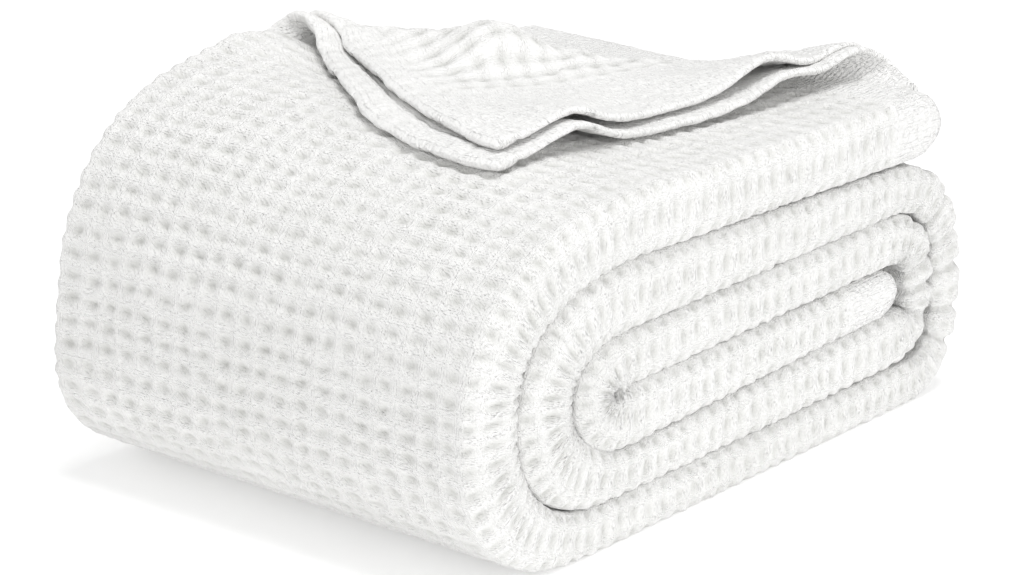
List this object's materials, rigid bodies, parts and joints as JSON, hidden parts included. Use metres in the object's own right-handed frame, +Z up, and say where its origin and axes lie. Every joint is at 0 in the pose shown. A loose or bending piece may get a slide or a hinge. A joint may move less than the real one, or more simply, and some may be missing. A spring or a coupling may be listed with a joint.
{
  "type": "rolled blanket",
  "caption": "White waffle-weave cotton blanket folded to a strip and rolled, its last corner turned back over the top.",
  "frame": {"origin": "on the floor under the middle of the roll", "axes": "+Z up; +Y along the winding axis to the far end, the wound face that shows looking to -Y; +X to the side where the strip ends"},
  "size_m": [0.4218, 0.2797, 0.2133],
  "materials": {
    "waffle_cotton": "matte white waffle-woven cotton"
  },
  "bodies": {
    "root": {"blanket": "waffle_cotton"}
  },
  "joints": []
}
